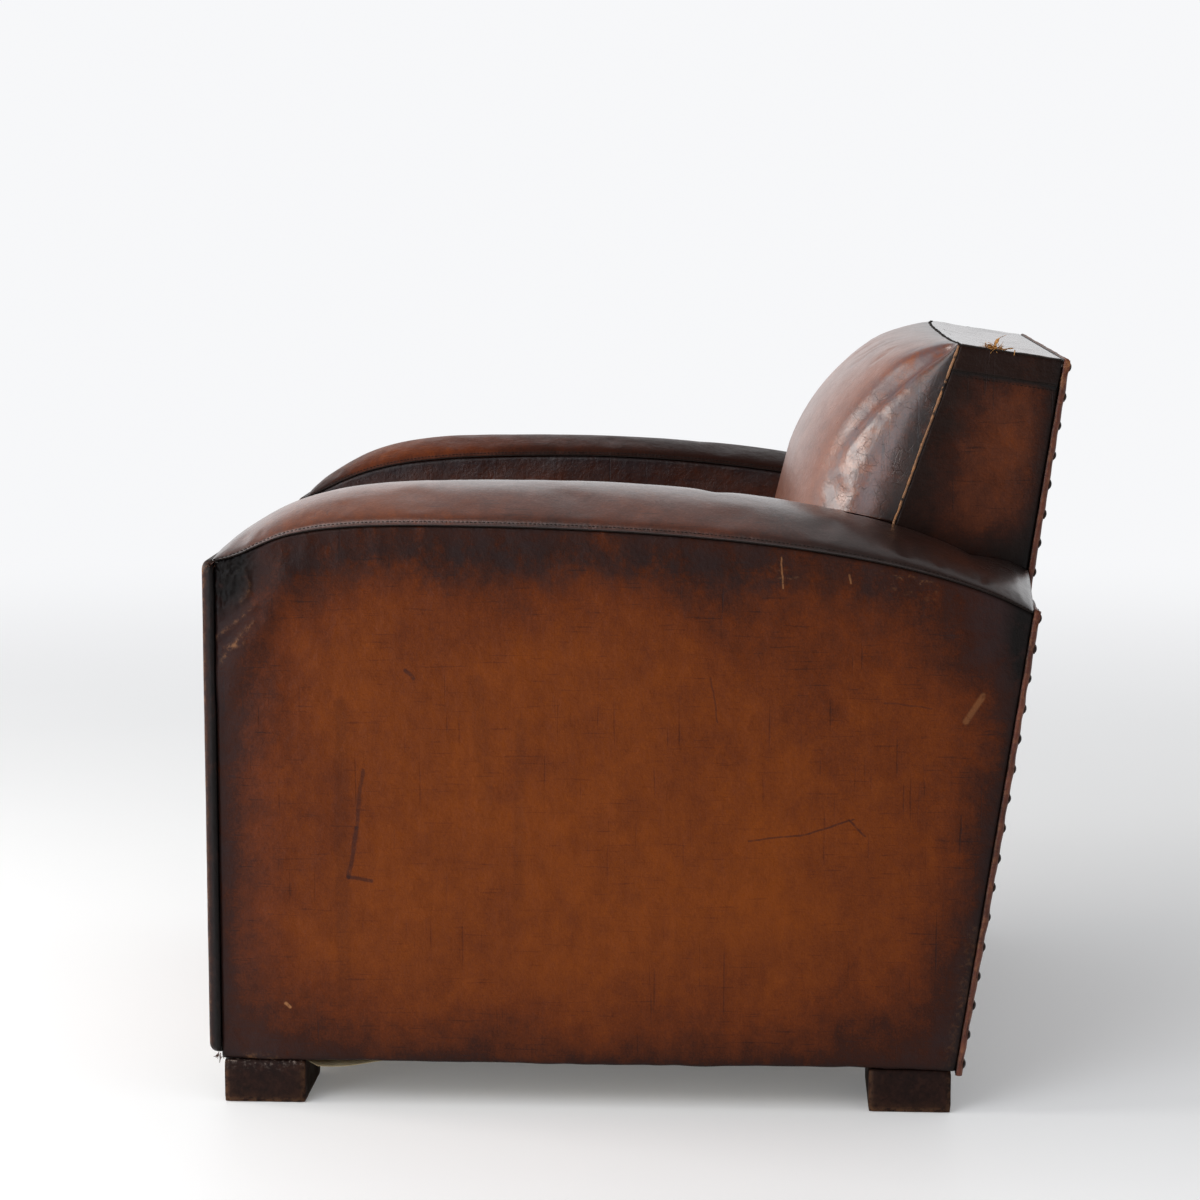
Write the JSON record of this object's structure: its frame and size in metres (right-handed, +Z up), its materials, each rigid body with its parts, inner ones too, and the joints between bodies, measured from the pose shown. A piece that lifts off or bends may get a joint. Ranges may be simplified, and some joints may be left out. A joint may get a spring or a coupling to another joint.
{
  "type": "club chair",
  "caption": "Worn brown leather club chair with curved stuffed arms, a low raked square back with a crowned cushion, a loose seat cushion and dark block feet.",
  "frame": {"origin": "middle of the bounding box, at floor level under the feet", "axes": "+X towards the sitter's left, -Y out of the front of the seat, +Z up"},
  "size_m": [0.8, 0.8788, 0.7755],
  "materials": {
    "leather": "waxed, worn and creased",
    "dark_leather": "rubbed dark, cracked at the edges",
    "frame_wood": "sawn beech",
    "foot_wood": "dark stain, worn at the edges",
    "webbing": "woven jute",
    "hessian": "coarse hessian",
    "stuffing": "straw and horsehair under cloth",
    "spring_steel": "drawn wire"
  },
  "bodies": {
    "root": {"left_arm_top": "leather", "right_arm_top": "leather", "left_outside_arm": "leather", "right_outside_arm": "leather", "left_inside_arm": "leather", "right_inside_arm": "leather", "left_arm_facing": "dark_leather", "right_arm_facing": "dark_leather", "left_arm_board": "frame_wood", "right_arm_board": "frame_wood", "left_front_post": "frame_wood", "right_front_post": "frame_wood", "left_rear_post": "frame_wood", "right_rear_post": "frame_wood", "left_side_rail": "frame_wood", "right_side_rail": "frame_wood", "left_arm_tack_rail": "frame_wood", "right_arm_tack_rail": "frame_wood", "left_front_corner_block": "frame_wood", "right_front_corner_block": "frame_wood", "left_rear_corner_block": "frame_wood", "right_rear_corner_block": "frame_wood", "front_rail": "frame_wood", "rear_rail": "frame_wood", "left_front_foot": "foot_wood", "right_front_foot": "foot_wood", "left_rear_foot": "foot_wood", "right_rear_foot": "foot_wood", "left_back_upright": "frame_wood", "right_back_upright": "frame_wood", "left_back_side": "leather", "right_back_side": "leather", "back_top_rail": "frame_wood", "back_tack_rail": "frame_wood", "back_webbing": "webbing", "back_hessian": "hessian", "back_stuffing": "stuffing", "inside_back": "leather", "back_top": "dark_leather", "outside_back": "dark_leather", "seat_spring_1": "spring_steel", "seat_spring_2": "spring_steel", "seat_spring_3": "spring_steel", "seat_spring_4": "spring_steel", "seat_spring_5": "spring_steel", "seat_spring_6": "spring_steel", "seat_spring_7": "spring_steel", "seat_spring_8": "spring_steel", "seat_spring_9": "spring_steel", "back_spring_1": "spring_steel", "back_spring_2": "spring_steel", "back_spring_3": "spring_steel", "back_spring_4": "spring_steel", "seat_webbing": "webbing", "seat_hessian": "hessian", "seat_deck": "stuffing", "front_border": "leather", "seat_cushion": "leather", "dust_cover": "hessian"}
  },
  "joints": []
}
